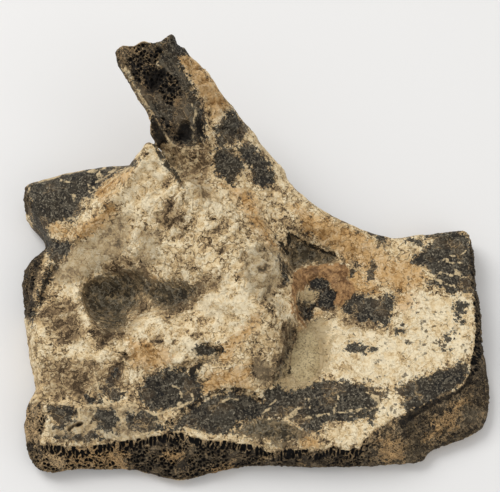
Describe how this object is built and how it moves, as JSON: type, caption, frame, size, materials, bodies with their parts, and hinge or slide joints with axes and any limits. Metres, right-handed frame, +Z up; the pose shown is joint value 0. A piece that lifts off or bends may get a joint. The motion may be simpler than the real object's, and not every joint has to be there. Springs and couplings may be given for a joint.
{
  "type": "fossil turtle shell fragment",
  "caption": "Fossil fragment of a turtle's under shell with its buttress and strut, lying with the inner face up.",
  "frame": {"origin": "centre of the footprint of the whole fragment's box, at the level of the flats that it lies on", "axes": "+X to the right as the picture shows it, along the longer side; +Y to the notched side where the strut leans out; +Z up, out of the inner face of the shell"},
  "size_m": [0.1224, 0.1064, 0.0437],
  "materials": {
    "fossil_bone": "rough mineral-stained bone, cream to slate black",
    "sandstone": "dull fine-grained olive sandstone"
  },
  "bodies": {
    "root": {"shell_bone": "fossil_bone", "sandstone_fill": "sandstone"}
  },
  "joints": []
}
